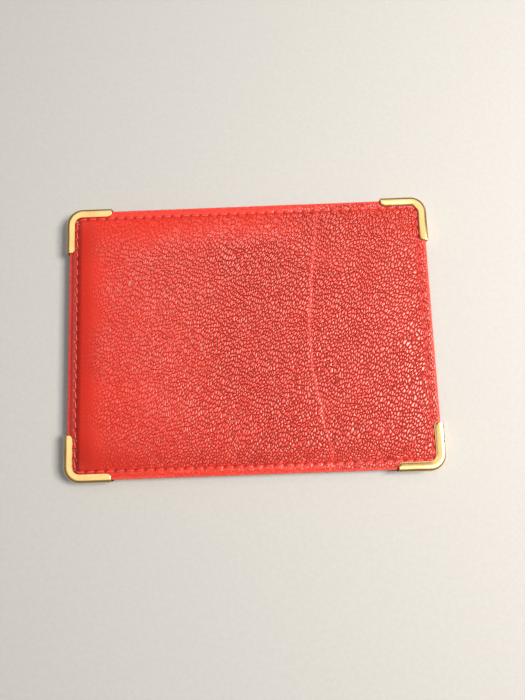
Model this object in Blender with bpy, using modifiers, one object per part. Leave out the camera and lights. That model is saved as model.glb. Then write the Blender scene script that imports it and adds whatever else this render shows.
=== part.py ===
"""A flat single-leaf card holder: padded leather face, two card slots on the reverse, four metal corners.

Metres, +Z up. The plain padded face points up and the slotted reverse lies on the ground plane, so the
origin is the middle of the footprint. +X runs along the long side and the slots open towards +Y.
"""

import math

import bmesh
import bpy

MM = 0.001

# Driving dimensions of the finished leaf
LEAF_WIDTH = 102.0 * MM
LEAF_HEIGHT = 76.0 * MM
LEAF_CORNER_RADIUS = 4.0 * MM
ARC_STEPS = 6
FLAT_ANGLE = math.radians(0.5)

# Sheet thicknesses, and the air left between sheets that lie on each other
FACE_LEATHER = 0.6 * MM
POCKET_LEATHER = 0.5 * MM
SLOT_LEATHER = 0.35 * MM
LINING = 0.4 * MM
BOARD = 0.5 * MM
PADDING = 0.7 * MM
LAYER_GAP = 0.25 * MM

# Metal corners
METAL = 0.4 * MM
METAL_LEG = 13.0 * MM
METAL_BAND = 2.0 * MM
METAL_CLEARANCE = 0.2 * MM
METAL_TIP_RADIUS = 1.0 * MM
METAL_EDGE_ROUND = 0.18 * MM

# Seam, which runs just inside the metal, and the flat land of the sewn margin inside it
THREAD_RADIUS = 0.18 * MM
THREAD_GAP = 0.08 * MM
THREAD_SPACING = 2.5 * MM
SEAM_TO_METAL = 0.27 * MM
SEAM_LAND = 0.57 * MM
SEAM_INSET = METAL_BAND + SEAM_TO_METAL + THREAD_RADIUS
MARGIN_WIDTH = SEAM_INSET + THREAD_RADIUS + SEAM_LAND

# The reverse panel is pressed up along its border, so that the seam and the metal lie within its depth
BORDER_LIFT = METAL + METAL_CLEARANCE
BORDER_WIDTH = MARGIN_WIDTH
BORDER_SLOPE = 1.0 * MM
REVERSE_INSET = 0.6 * MM
LINING_INSET = 0.8 * MM

# Face leather: a shoulder climbs from the sewn margin to the padded field, and a flap is turned in below
SHOULDER_LEFT = 6.0 * MM
SHOULDER_RIGHT = 1.8 * MM
SHOULDER_TOP = 2.2 * MM
SHOULDER_BOTTOM = 2.6 * MM
SHOULDER_STEPS = 5
FIELD_RADIUS = 2.0 * MM
PADDING_CLEARANCE = 1.0 * MM
TURNED_FLAP = 6.5 * MM
EDGE_STEPS = 8
SHARPEST_RADIUS = 0.3 * MM

# Card slots on the reverse, which open towards +Y. A card is 85.6 x 54 mm.
WINDOW_SIDE_LAP = 1.6 * MM
WINDOW_TOP_LAND = 1.4 * MM
WINDOW_RADIUS = 2.0 * MM
OUTER_MOUTH_Y = 4.0 * MM
THUMB_NOTCH_RADIUS = 9.0 * MM
THUMB_NOTCH_DEPTH = 5.0 * MM
INNER_MOUTH_Y = 15.0 * MM
INNER_SLOT_BOTTOM_Y = -25.0 * MM
SLOT_SIDE_CLEARANCE = 0.7 * MM
STRIP_LAP = 3.0 * MM
SLOT_CORNER_RADIUS = 1.0 * MM

# Heights of the layers, worked up from the ground
BORDER_LOW = BORDER_LIFT
SLOT_LOW = POCKET_LEATHER + LAYER_GAP
LINING_LOW = max(SLOT_LOW + SLOT_LEATHER, BORDER_LOW + POCKET_LEATHER) + LAYER_GAP
FLAP_LOW = LINING_LOW + LINING + LAYER_GAP
BOARD_LOW = FLAP_LOW + FACE_LEATHER + LAYER_GAP
PADDING_LOW = BOARD_LOW + BOARD + LAYER_GAP
MARGIN_TOP = PADDING_LOW + FACE_LEATHER
FIELD_TOP = PADDING_LOW + PADDING + LAYER_GAP + FACE_LEATHER
METAL_TOP = MARGIN_TOP + METAL_CLEARANCE + METAL
EDGE_RADIUS = (MARGIN_TOP - FLAP_LOW) / 2
EDGE_MIDDLE = (MARGIN_TOP + FLAP_LOW) / 2

HALF_WIDTH = LEAF_WIDTH / 2
HALF_HEIGHT = LEAF_HEIGHT / 2


def clear_scene():
    """Removes whatever the file holds, so that only this model is left."""
    for obj in list(bpy.data.objects):
        bpy.data.objects.remove(obj, do_unlink=True)


def new_collection(name):
    collection = bpy.data.collections.new(name)
    bpy.context.scene.collection.children.link(collection)
    return collection


def new_material(name, colour, roughness, metallic=0.0):
    material = bpy.data.materials.new(name)
    material.use_nodes = True
    shader = material.node_tree.nodes["Principled BSDF"]
    shader.inputs["Base Color"].default_value = (*colour, 1.0)
    shader.inputs["Roughness"].default_value = roughness
    shader.inputs["Metallic"].default_value = metallic
    material.diffuse_color = (*colour, 1.0)
    return material


def arc(centre, radius, start, end, steps=ARC_STEPS):
    """Points on a circle's arc from start to end, in degrees, both ends included."""
    points = []
    for i in range(steps + 1):
        angle = math.radians(start + (end - start) * i / steps)
        points.append((centre[0] + radius * math.cos(angle), centre[1] + radius * math.sin(angle)))
    return points


def rounded_rectangle(left, right, bottom, top, radius):
    """Anticlockwise outline. Every outline made here has the same number of points, so they can be lofted."""
    radius = max(min(radius, (right - left) / 2, (top - bottom) / 2), SHARPEST_RADIUS)
    outline = arc((right - radius, top - radius), radius, 0, 90)
    outline += arc((left + radius, top - radius), radius, 90, 180)
    outline += arc((left + radius, bottom + radius), radius, 180, 270)
    outline += arc((right - radius, bottom + radius), radius, 270, 360)
    return outline


def leaf_outline(inset):
    """The leaf's own outline, moved in by inset."""
    return rounded_rectangle(
        inset - HALF_WIDTH,
        HALF_WIDTH - inset,
        inset - HALF_HEIGHT,
        HALF_HEIGHT - inset,
        LEAF_CORNER_RADIUS - inset,
    )


def field_outline(inset=0.0):
    """The edge of the raised field of the face. It is further from the left edge than from the others."""
    return rounded_rectangle(
        inset + MARGIN_WIDTH + SHOULDER_LEFT - HALF_WIDTH,
        HALF_WIDTH - MARGIN_WIDTH - SHOULDER_RIGHT - inset,
        inset + MARGIN_WIDTH + SHOULDER_BOTTOM - HALF_HEIGHT,
        HALF_HEIGHT - MARGIN_WIDTH - SHOULDER_TOP - inset,
        FIELD_RADIUS,
    )


def between(first, second, share):
    """The outline that lies a share of the way from first to second."""
    return [
        (ax + (bx - ax) * share, ay + (by - ay) * share)
        for (ax, ay), (bx, by) in zip(first, second)
    ]


def finish_mesh(name, mesh, material, collection):
    mesh.materials.append(material)
    mesh.shade_smooth()
    mesh.set_sharp_from_angle(angle=math.radians(35))
    obj = bpy.data.objects.new(name, mesh)
    collection.objects.link(obj)
    return obj


def flat_sheet(name, outline, low, thickness, material, collection):
    """A sheet of even thickness whose underside is at height low, from a filled 2D curve."""
    curve = bpy.data.curves.new(name, "CURVE")
    curve.dimensions = "2D"
    curve.fill_mode = "BOTH"
    curve.extrude = thickness / 2
    spline = curve.splines.new("POLY")
    spline.points.add(len(outline) - 1)
    for point, (x, y) in zip(spline.points, outline):
        point.co = (x, y, 0, 1)
    spline.use_cyclic_u = True
    drawn = bpy.data.objects.new(name + "_outline", curve)
    drawn.location.z = low + thickness / 2
    collection.objects.link(drawn)
    bpy.context.view_layer.update()
    graph = bpy.context.evaluated_depsgraph_get()
    mesh = bpy.data.meshes.new_from_object(drawn.evaluated_get(graph))
    placed = drawn.matrix_world.copy()
    bpy.data.objects.remove(drawn, do_unlink=True)
    shape = bmesh.new()
    shape.from_mesh(mesh)
    bmesh.ops.remove_doubles(shape, verts=shape.verts, dist=0.000001)
    bmesh.ops.dissolve_limit(shape, angle_limit=FLAT_ANGLE, verts=shape.verts, edges=shape.edges)
    bmesh.ops.recalc_face_normals(shape, faces=shape.faces)
    shape.to_mesh(mesh)
    shape.free()
    obj = finish_mesh(name, mesh, material, collection)
    obj.matrix_world = placed
    return obj


def lofted_shell(name, rings, thickness, material, collection):
    """A pressed sheet. The rings run from the middle of its outer side to its rim, and the first is filled."""
    shape = bmesh.new()
    loops = [[shape.verts.new((x, y, height)) for x, y in outline] for outline, height in rings]
    shape.faces.new(loops[0])
    for inner, outer in zip(loops, loops[1:]):
        for i in range(len(inner)):
            j = (i + 1) % len(inner)
            shape.faces.new((inner[i], outer[i], outer[j], inner[j]))
    mesh = bpy.data.meshes.new(name)
    shape.to_mesh(mesh)
    shape.free()
    obj = finish_mesh(name, mesh, material, collection)
    solidify = obj.modifiers.new("thickness", "SOLIDIFY")
    solidify.thickness = thickness
    solidify.offset = -1.0
    solidify.use_even_offset = True
    return obj


def cut(obj, cutter):
    boolean = obj.modifiers.new("cut_" + cutter.name, "BOOLEAN")
    boolean.operation = "DIFFERENCE"
    boolean.object = cutter
    return boolean


def as_cutter(obj):
    obj.hide_render = True
    obj.display_type = "WIRE"
    return obj


def build_face_leather(material, collection):
    """The padded face: field, shoulder, sewn margin, rolled edge and the flap turned in below."""
    margin = leaf_outline(MARGIN_WIDTH)
    rings = []
    for i in range(SHOULDER_STEPS + 1):
        share = i / SHOULDER_STEPS
        drop = share * share * (3 - 2 * share)
        height = FIELD_TOP - (FIELD_TOP - MARGIN_TOP) * drop
        rings.append((between(field_outline(), margin, share), height))
    for i in range(EDGE_STEPS + 1):
        angle = math.pi * (0.5 - i / EDGE_STEPS)
        inset = EDGE_RADIUS * (1 - math.cos(angle))
        rings.append((leaf_outline(inset), EDGE_MIDDLE + EDGE_RADIUS * math.sin(angle)))
    rings.append((leaf_outline(TURNED_FLAP), FLAP_LOW))
    return lofted_shell("face_leather", rings, FACE_LEATHER, material, collection)


def build_face_padding(material, collection):
    outline = field_outline(PADDING_CLEARANCE)
    return flat_sheet("face_padding", outline, PADDING_LOW, PADDING, material, collection)


def build_stiffener_board(material, collection):
    """The board stops short of the rolled edge, so that the leather can turn round it."""
    outline = leaf_outline(EDGE_RADIUS)
    return flat_sheet("stiffener_board", outline, BOARD_LOW, BOARD, material, collection)


def build_back_lining(material, collection):
    return flat_sheet("back_lining", leaf_outline(LINING_INSET), LINING_LOW, LINING, material, collection)


def slot_half_width():
    """Half the width of the inner slot, which fits inside the pressed-up border of the reverse panel."""
    return HALF_WIDTH - BORDER_WIDTH - BORDER_SLOPE - SLOT_SIDE_CLEARANCE


def strip_low_edge():
    """The strip carries on under the reverse panel, past the bottom of the thumb notch."""
    return OUTER_MOUTH_Y - THUMB_NOTCH_DEPTH - STRIP_LAP


def build_slot_strip(material, collection):
    """The visible leather strip at the mouth of the inner slot."""
    half = slot_half_width()
    outline = rounded_rectangle(-half, half, strip_low_edge(), INNER_MOUTH_Y, SLOT_CORNER_RADIUS)
    return flat_sheet("slot_mouth_strip", outline, SLOT_LOW, SLOT_LEATHER, material, collection)


def build_slot_cloth(material, collection):
    """The thin cloth that carries on from the leather strip down to the bottom of the inner slot."""
    half = slot_half_width()
    high_edge = strip_low_edge() - LAYER_GAP
    outline = rounded_rectangle(-half, half, INNER_SLOT_BOTTOM_Y, high_edge, SLOT_CORNER_RADIUS)
    return flat_sheet("slot_cloth", outline, SLOT_LOW, SLOT_LEATHER, material, collection)


def window_outline():
    """The opening in the reverse panel. Its lower edge is the mouth of the outer slot, with a thumb notch."""
    half = slot_half_width() - WINDOW_SIDE_LAP
    top = HALF_HEIGHT - BORDER_WIDTH - BORDER_SLOPE - WINDOW_TOP_LAND
    outline = rounded_rectangle(-half, half, OUTER_MOUTH_Y, top, WINDOW_RADIUS)
    centre = (0.0, OUTER_MOUTH_Y - THUMB_NOTCH_DEPTH + THUMB_NOTCH_RADIUS)
    half_angle = math.degrees(math.acos(1 - THUMB_NOTCH_DEPTH / THUMB_NOTCH_RADIUS))
    notch = arc(centre, THUMB_NOTCH_RADIUS, 270 - half_angle, 270 + half_angle, 2 * ARC_STEPS)
    left_corner_end = 3 * (ARC_STEPS + 1)
    return outline[:left_corner_end] + notch + outline[left_corner_end:]


def build_reverse_panel(material, collection, cutters):
    """The reverse panel: flat in the middle, pressed up along the border, and open above the outer slot."""
    rings = [
        (leaf_outline(BORDER_WIDTH + BORDER_SLOPE), 0.0),
        (leaf_outline(BORDER_WIDTH), BORDER_LOW),
        (leaf_outline(REVERSE_INSET), BORDER_LOW),
    ]
    rings = [(outline[::-1], height) for outline, height in rings]
    panel = lofted_shell("reverse_panel", rings, POCKET_LEATHER, material, collection)
    reach = 4 * POCKET_LEATHER
    window = flat_sheet("window_cutter", window_outline(), -reach, 2 * reach, material, cutters)
    cut(panel, as_cutter(window))
    return panel


def build_seam_thread(name, height, material, collection):
    """A run of thread round the whole leaf, level with the seam's height."""
    corners = leaf_outline(SEAM_INSET)
    points = []
    for (ax, ay), (bx, by) in zip(corners, corners[1:] + corners[:1]):
        pieces = max(1, round(math.dist((ax, ay), (bx, by)) / THREAD_SPACING))
        points += [(ax + (bx - ax) * i / pieces, ay + (by - ay) * i / pieces) for i in range(pieces)]
    curve = bpy.data.curves.new(name, "CURVE")
    curve.dimensions = "3D"
    curve.bevel_depth = THREAD_RADIUS
    curve.bevel_resolution = 1
    spline = curve.splines.new("POLY")
    spline.points.add(len(points) - 1)
    for point, (x, y) in zip(spline.points, points):
        point.co = (x, y, height, 1)
    spline.use_cyclic_u = True
    curve.materials.append(material)
    obj = bpy.data.objects.new(name, curve)
    collection.objects.link(obj)
    return obj


def metal_outline():
    """Plan of the corner at +X +Y: an L-shaped band round the leaf's corner, with rounded inner tips."""
    side = METAL_CLEARANCE + METAL
    x_out = HALF_WIDTH + side
    y_out = HALF_HEIGHT + side
    x_in = HALF_WIDTH - METAL_BAND
    y_in = HALF_HEIGHT - METAL_BAND
    x_tip = x_out - METAL_LEG
    y_tip = y_out - METAL_LEG
    outer_radius = LEAF_CORNER_RADIUS + side
    inner_radius = LEAF_CORNER_RADIUS - METAL_BAND
    tip = METAL_TIP_RADIUS
    outline = [(x_out, y_tip)]
    outline += arc((x_out - outer_radius, y_out - outer_radius), outer_radius, 0, 90, 2 * ARC_STEPS)
    outline.append((x_tip, y_out))
    outline += arc((x_tip + tip, y_in + tip), tip, 180, 270, ARC_STEPS)
    outline += arc((x_in - inner_radius, y_in - inner_radius), inner_radius, 90, 0, ARC_STEPS)
    outline += arc((x_in + tip, y_tip + tip), tip, 180, 270, ARC_STEPS)
    return outline


def build_metal_corner(name, x_side, y_side, channel, material, collection):
    """A folded metal corner: a solid band with the channel that grips the leaf cut out of it."""
    outline = [(x * x_side, y * y_side) for x, y in metal_outline()]
    corner = flat_sheet(name, outline, 0.0, METAL_TOP, material, collection)
    rounding = corner.modifiers.new("rounded_edges", "BEVEL")
    rounding.width = METAL_EDGE_ROUND
    rounding.segments = 2
    rounding.limit_method = "ANGLE"
    rounding.angle_limit = math.radians(50)
    cut(corner, channel)
    return corner


def build_channel_cutter(material, cutters):
    """The space inside all four metal corners: the leaf, grown by its clearance to the metal."""
    outline = leaf_outline(-METAL_CLEARANCE)
    channel = flat_sheet("channel_cutter", outline, METAL, METAL_TOP - 2 * METAL, material, cutters)
    return as_cutter(channel)


def main():
    clear_scene()
    parts = new_collection("card_holder")
    cutters = new_collection("cutters")
    leather = new_material("red_leather", (0.62, 0.045, 0.032), 0.42)
    lining = new_material("lining_cloth", (0.30, 0.022, 0.02), 0.8)
    thread = new_material("sewing_thread", (0.5, 0.03, 0.03), 0.6)
    board = new_material("bonded_board", (0.34, 0.25, 0.17), 0.85)
    foam = new_material("padding_foam", (0.75, 0.73, 0.68), 0.9)
    gilt = new_material("gilt_metal", (0.93, 0.66, 0.26), 0.2, 1.0)

    build_face_leather(leather, parts)
    build_face_padding(foam, parts)
    build_stiffener_board(board, parts)
    build_back_lining(lining, parts)
    build_slot_strip(leather, parts)
    build_slot_cloth(lining, parts)
    build_reverse_panel(leather, parts, cutters)
    build_seam_thread("face_seam_thread", MARGIN_TOP + THREAD_GAP + THREAD_RADIUS, thread, parts)
    build_seam_thread("reverse_seam_thread", BORDER_LOW - THREAD_GAP - THREAD_RADIUS, thread, parts)
    channel = build_channel_cutter(gilt, cutters)
    for y_name, y_side in (("top", 1), ("bottom", -1)):
        for x_name, x_side in (("left", -1), ("right", 1)):
            build_metal_corner(f"metal_corner_{y_name}_{x_name}", x_side, y_side, channel, gilt, parts)


main()
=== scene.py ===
"""The looks of a padded red leather card holder with a sewn border and gilt corners.

Every length is in millimetres until a mesh is made, when it is turned into metres. +Z comes out of
the grained face, and the slotted reverse lies on the floor.
"""

import logging
import math
from dataclasses import dataclass, field
from enum import Enum

import bpy
import numpy as np
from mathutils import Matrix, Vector


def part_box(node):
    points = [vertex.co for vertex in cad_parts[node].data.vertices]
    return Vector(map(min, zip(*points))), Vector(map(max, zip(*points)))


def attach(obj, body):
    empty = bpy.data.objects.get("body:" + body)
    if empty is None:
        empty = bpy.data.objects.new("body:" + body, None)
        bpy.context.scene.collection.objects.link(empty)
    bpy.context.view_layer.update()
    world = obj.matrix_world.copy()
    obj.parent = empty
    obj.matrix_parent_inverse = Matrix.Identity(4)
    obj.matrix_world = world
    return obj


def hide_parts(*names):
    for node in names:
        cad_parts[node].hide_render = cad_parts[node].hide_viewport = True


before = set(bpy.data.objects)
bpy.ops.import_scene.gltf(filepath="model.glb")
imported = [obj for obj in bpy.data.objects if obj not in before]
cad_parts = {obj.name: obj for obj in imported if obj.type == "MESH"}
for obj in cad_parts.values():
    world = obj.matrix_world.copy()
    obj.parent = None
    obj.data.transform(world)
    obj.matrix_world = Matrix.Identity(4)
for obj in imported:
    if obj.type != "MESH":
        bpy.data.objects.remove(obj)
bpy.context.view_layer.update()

MM = 0.001
BODY = "root"
LOG = logging.getLogger("card_holder")

Array = np.ndarray
Colour = tuple[float, float, float]
Point = tuple[float, float]
Place = tuple[float, float, float]
Node = bpy.types.Node
Socket = bpy.types.NodeSocket

NODE_SPACING = 180.0
GRAIN_SWAYS = ((95.0, 0.0022), (700.0, 0.0005))
"""Noise knots in a metre, and how far that noise pushes the grain, in metres."""
PEBBLE_SIDE = 0.4
"""How far a pebble's rounded side reaches in from its edge, in pebbles."""
SHARP_ANGLE = 48.0
"""From what angle between faces the metal has a sharp edge, in degrees."""
EDGE_SQUARENESS = 0.72
"""Less than 1 makes the turned edge fuller than a half circle."""
SEAM_FOLDS = ((0.0, -0.1, 0.34), (0.9, 0.03, 0.5), (-0.8, 0.03, 0.4))
"""How far in from the seam its folds lie, how high they are and how wide, in mm."""
GROWTH_FOLDS = ((-0.1, -0.02, 0.25), (0.45, 0.07, 0.25), (-0.6, 0.03, 0.25))
GROWTH_FOLDS += ((-2.4, 0.02, 0.3), (-3.9, 0.015, 0.3), (2.2, 0.02, 0.3))
"""Where the growth line's folds lie to its right, how deep they are and how wide, in mm."""
THREAD_HALF = 0.18
"""Half the width of the CAD model's seam thread, in mm."""
FACE_THREAD_DROP = 0.17
"""How far the face stitches' middle is below the lowest point of the CAD thread, in mm."""
REVERSE_THREAD_RISE = 0.02
"""How far the reverse stitches' middle is above the highest point of the CAD thread, in mm."""


class Facing(Enum):
    """Which way a sewn side of the leaf looks."""

    UP = 1
    DOWN = -1


class Slot(Enum):
    """The record's material slots."""

    LEATHER = "red_leather"
    LINING = "lining_cloth"
    THREAD = "sewing_thread"
    BOARD = "bonded_board"
    FOAM = "padding_foam"
    GILT = "gilt_metal"


def eased(share: Array) -> Array:
    """A smooth step from 0 to 1."""
    held = np.clip(share, 0.0, 1.0)
    return held * held * (3.0 - 2.0 * held)


def bell(distance: Array, width: float) -> Array:
    """A bell that is 1 at no distance and falls away over width."""
    return np.exp(-((distance / width) ** 2))


def box_mm(node: str) -> tuple[Vector, Vector]:
    """A CAD node's lowest and highest corner, in millimetres."""
    low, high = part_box(node)
    return low / MM, high / MM


def placed(name: str, data: bpy.types.ID) -> bpy.types.Object:
    """Makes an object and links it to the scene.

    Args:
        name: the object's name.
        data: its mesh, lamp or camera.

    Returns:
        The new object.
    """
    made = bpy.data.objects.new(name, data)
    bpy.context.scene.collection.objects.link(made)
    return made


@dataclass(frozen=True)
class SoftNoise:
    """A repeatable smooth noise over the plane, from -1 to 1.

    Args:
        seed: picks the pattern.
        size: distance between its knots, in mm.
    """

    seed: int
    size: float

    def at(self, x: Array, y: Array) -> Array:
        """The noise at these points.

        Args:
            x: places along X, in mm.
            y: places along Y, in mm.

        Returns:
            One value for each point.
        """
        knots = np.random.default_rng(self.seed).uniform(-1.0, 1.0, (256, 256))
        u, v = x / self.size, y / self.size
        i, j = np.floor(u).astype(int), np.floor(v).astype(int)
        across, up = eased(u - i), eased(v - j)

        def knot(di: int, dj: int) -> Array:
            """The knot di and dj cells away."""
            return knots[(i + di) % 256, (j + dj) % 256]

        low = knot(0, 0) * (1 - across) + knot(1, 0) * across
        high = knot(0, 1) * (1 - across) + knot(1, 1) * across
        return low * (1 - up) + high * up

    def along(self, y: Array) -> Array:
        """The noise at places on one line along Y."""
        return self.at(np.full_like(y, 3.0), y)


@dataclass(frozen=True)
class LeafPlan:
    """The leaf's rounded outline in plan.

    Args:
        half_width: half of the leaf along X, in mm.
        half_height: half of the leaf along Y, in mm.
        radius: the outline's corner radius, in mm.
    """

    half_width: float
    half_height: float
    radius: float = 4.0

    def inside(self, x: Array, y: Array) -> Array:
        """How far inside the outline each point is.

        Args:
            x: places along X, in mm.
            y: places along Y, in mm.

        Returns:
            One distance for each point, in mm.
        """
        qx = np.abs(x) - (self.half_width - self.radius)
        qy = np.abs(y) - (self.half_height - self.radius)
        outer = np.hypot(np.maximum(qx, 0.0), np.maximum(qy, 0.0))
        return self.radius - outer - np.minimum(np.maximum(qx, qy), 0.0)

    def rounded(self, x: Array, y: Array, inset: float) -> tuple[Array, Array]:
        """Bends a square-cornered plan into the rounded one.

        Args:
            x: places along X of the plain rectangle, in mm.
            y: places along Y of the plain rectangle, in mm.
            inset: how far the rectangle is inside the outline, in mm.

        Returns:
            The bent places.
        """
        radius, cx, cy = self._arcs(inset)
        a = np.clip((np.abs(x) - cx) / radius, 0.0, 1.0)
        b = np.clip((np.abs(y) - cy) / radius, 0.0, 1.0)
        new_x = np.where(a * b > 0, cx + radius * a * np.sqrt(1 - b * b / 2), np.abs(x))
        new_y = np.where(a * b > 0, cy + radius * b * np.sqrt(1 - a * a / 2), np.abs(y))
        return np.copysign(new_x, x), np.copysign(new_y, y)

    def _arcs(self, inset: float) -> tuple[float, float, float]:
        """Radius of the corner arcs at inset, and how far their centres are along X and Y."""
        radius = max(self.radius - inset, 0.3)
        return radius, self.half_width - inset - radius, self.half_height - inset - radius

    def outward(self, x: Array, y: Array, inset: float) -> tuple[Array, Array]:
        """The outline's outward direction.

        Args:
            x: places along X of points that lie at inset, in mm.
            y: places along Y of those points, in mm.
            inset: how far inside the outline they are, in mm.

        Returns:
            The direction's X and Y at each point.
        """
        _, cx, cy = self._arcs(inset)
        nx, ny = np.maximum(np.abs(x) - cx, 0.0), np.maximum(np.abs(y) - cy, 0.0)
        length = np.maximum(np.hypot(nx, ny), 1e-9)
        return np.copysign(nx / length, x), np.copysign(ny / length, y)

    def length(self, inset: float) -> float:
        """How long the way round the outline is.

        Args:
            inset: how far inside the outline the way is, in mm.

        Returns:
            Its length, in mm.
        """
        radius, _, _ = self._arcs(inset)
        straight = 4 * (self.half_width + self.half_height - 2 * inset - 2 * radius)
        return straight + 2 * math.pi * radius

    def walk(self, along: Array, inset: float) -> tuple[Array, Array, Array, Array]:
        """Points on the outline at inset, anticlockwise from the middle of the right side.

        Args:
            along: distances walked, in mm.
            inset: how far inside the outline the walk is, in mm.

        Returns:
            X, Y and the direction's X and Y at each distance.
        """
        radius, side_x, side_y = self._arcs(inset)
        quarter = math.pi * radius / 2
        left = np.mod(along, self.length(inset))
        x, y, dx, dy = (np.zeros_like(left) for _ in range(4))
        start = 0.0
        runs = [side_y, 2 * side_x, 2 * side_y, 2 * side_x, side_y]
        corners = [(side_x, side_y), (-side_x, side_y), (-side_x, -side_y), (side_x, -side_y)]
        origins = [(side_x + radius, 0.0), (side_x, side_y + radius), (-side_x - radius, side_y)]
        origins += [(-side_x, -side_y - radius), (side_x + radius, -side_y)]
        for k, run in enumerate(runs):
            heading = 90.0 * k
            turn = math.radians(heading + 90.0)
            here = (left >= start) & (left <= start + run)
            gone = left - start
            x = np.where(here, origins[k][0] + math.cos(turn) * gone, x)
            y = np.where(here, origins[k][1] + math.sin(turn) * gone, y)
            dx, dy = np.where(here, math.cos(turn), dx), np.where(here, math.sin(turn), dy)
            start += run
            if k == len(corners):
                break
            here = (left > start) & (left < start + quarter)
            angle = math.radians(heading) + (left - start) / radius
            x = np.where(here, corners[k][0] + radius * np.cos(angle), x)
            y = np.where(here, corners[k][1] + radius * np.sin(angle), y)
            dx, dy = np.where(here, -np.sin(angle), dx), np.where(here, np.cos(angle), dy)
            start += quarter
        return x, y, dx, dy


@dataclass
class Skin:
    """Vertices and faces gathered for one piece, with values kept at its vertices."""

    points: list[Array] = field(default_factory=list)
    faces: list[list[int]] = field(default_factory=list)
    values: dict[str, list[Array]] = field(default_factory=dict)
    count: int = 0

    def add_points(self, points: Array, **values: Array) -> Array:
        """Adds points, given as an array of rows of x, y and z in mm.

        Args:
            points: the new points.
            values: named values at those points, from 0 to 1.

        Returns:
            The points' indices.
        """
        self.points.append(points)
        for name in {*self.values, *values}:
            kept = self.values.setdefault(name, [np.zeros(self.count)] if self.count else [])
            kept.append(np.ravel(values.get(name, np.zeros(len(points)))))
        made = np.arange(self.count, self.count + len(points))
        self.count += len(points)
        return made

    def add_grid(self, index: Array, flip: bool = False) -> None:
        """Adds the quads of a grid.

        Args:
            index: the grid's indices, whose first axis is X.
            flip: whether the quads look down.
        """
        quads = np.stack([index[:-1, :-1], index[1:, :-1], index[1:, 1:], index[:-1, 1:]], axis=-1)
        quads = quads.reshape(-1, 4)
        self.faces += (quads[:, ::-1] if flip else quads).tolist()

    def add_band(self, first: Array, second: Array) -> None:
        """Adds the quads between two closed loops of the same number of points."""
        after_first, after_second = np.roll(first, -1), np.roll(second, -1)
        self.faces += np.stack([first, second, after_second, after_first], axis=-1).tolist()

    def add_halving(self, first: Array, second: Array) -> None:
        """Adds triangles between two closed loops.

        Args:
            first: a loop's indices.
            second: indices of a loop with half as many points.
        """
        even, odd, after = first[0::2], first[1::2], np.roll(first[0::2], -1)
        beyond = np.roll(second, -1)
        for corners in ([even, second, odd], [odd, second, beyond], [odd, beyond, after]):
            self.faces += np.stack(corners, axis=-1).tolist()

    def to_piece(self, name: str) -> bpy.types.Object:
        """Makes the object and links it to the scene.

        Args:
            name: the piece's name.

        Returns:
            The new object, in metres.
        """
        mesh = bpy.data.meshes.new(name)
        mesh.from_pydata((np.concatenate(self.points) * MM).tolist(), [], self.faces)
        for label, parts in self.values.items():
            layer = mesh.attributes.new(label, "FLOAT", "POINT")
            layer.data.foreach_set("value", np.concatenate(parts).astype(np.float32))
        mesh.validate()
        mesh.shade_smooth()
        return placed(name, mesh)


def rows(x: Array, y: Array, z: Array) -> Array:
    """Stacks three arrays into rows of x, y and z."""
    return np.stack([np.ravel(x), np.ravel(y), np.ravel(z)], axis=-1)


def rim_of(index: Array) -> Array:
    """The border of a grid.

    Args:
        index: the grid's indices, whose first axis is X.

    Returns:
        The border's indices, anticlockwise from the lowest corner.
    """
    bottom, right = index[:-1, 0], index[-1, :-1]
    top, left = index[:0:-1, -1], index[0, :0:-1]
    return np.concatenate([bottom, right, top, left])


def stops(low: float, high: float, step: float) -> Array:
    """Evenly spaced places from low to high, about a step apart."""
    return np.linspace(low, high, max(2, round((high - low) / step) + 1))


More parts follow.
